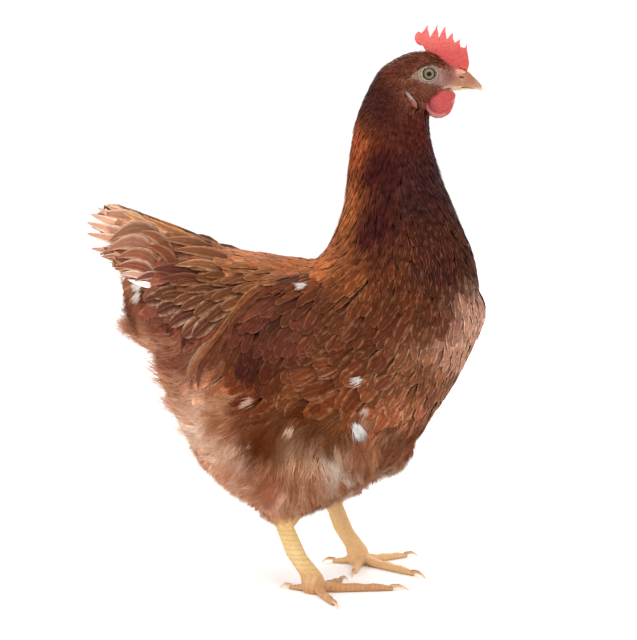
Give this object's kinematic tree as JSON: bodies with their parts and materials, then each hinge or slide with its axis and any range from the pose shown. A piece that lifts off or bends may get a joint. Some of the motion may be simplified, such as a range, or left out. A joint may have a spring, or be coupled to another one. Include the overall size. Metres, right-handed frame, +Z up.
{
  "type": "hen",
  "caption": "Life-size still model of a brown laying hen, standing on both feet with its head raised and turned a little to its left.",
  "frame": {"origin": "on the floor, under the centre of the hen's bounding box", "axes": "+X towards the breast, +Y to the hen's left, +Z up"},
  "size_m": [0.3196, 0.1936, 0.4264],
  "materials": {
    "contour_feathers": "soft, overlapping rust-brown feathers with paler rims",
    "hackle_feathers": "narrow silky mahogany feathers with a slight gloss",
    "body_fluff": "loose downy fluff, tan at the tips",
    "tail_feathers": "buff, stiff vanes with pale edges",
    "wing_feathers": "close brown vanes with a lighter edge",
    "bare_face": "thin bare skin, finely wrinkled",
    "comb_flesh": "coral red, waxy and finely grained",
    "bill_horn": "smooth pale horn",
    "shank_scales": "yellow overlapping scales",
    "eyeball": "wet and clear over an olive-grey iris"
  },
  "bodies": {
    "root": {"trunk": "contour_feathers", "neck": "hackle_feathers", "head": "bare_face", "tail": "tail_feathers", "comb": "comb_flesh", "upper_bill": "bill_horn", "lower_bill": "bill_horn", "eye_left": "eyeball", "wattle_left": "comb_flesh", "earlobe_left": "comb_flesh", "wing_left": "wing_feathers", "thigh_left": "body_fluff", "shank_left": "shank_scales", "toe_middle_left": "shank_scales", "claw_middle_left": "bill_horn", "toe_inner_left": "shank_scales", "claw_inner_left": "bill_horn", "toe_outer_left": "shank_scales", "claw_outer_left": "bill_horn", "toe_hind_left": "shank_scales", "claw_hind_left": "bill_horn", "eye_right": "eyeball", "wattle_right": "comb_flesh", "earlobe_right": "comb_flesh", "wing_right": "wing_feathers", "thigh_right": "body_fluff", "shank_right": "shank_scales", "toe_middle_right": "shank_scales", "claw_middle_right": "bill_horn", "toe_inner_right": "shank_scales", "claw_inner_right": "bill_horn", "toe_outer_right": "shank_scales", "claw_outer_right": "bill_horn", "toe_hind_right": "shank_scales", "claw_hind_right": "bill_horn"}
  },
  "joints": []
}
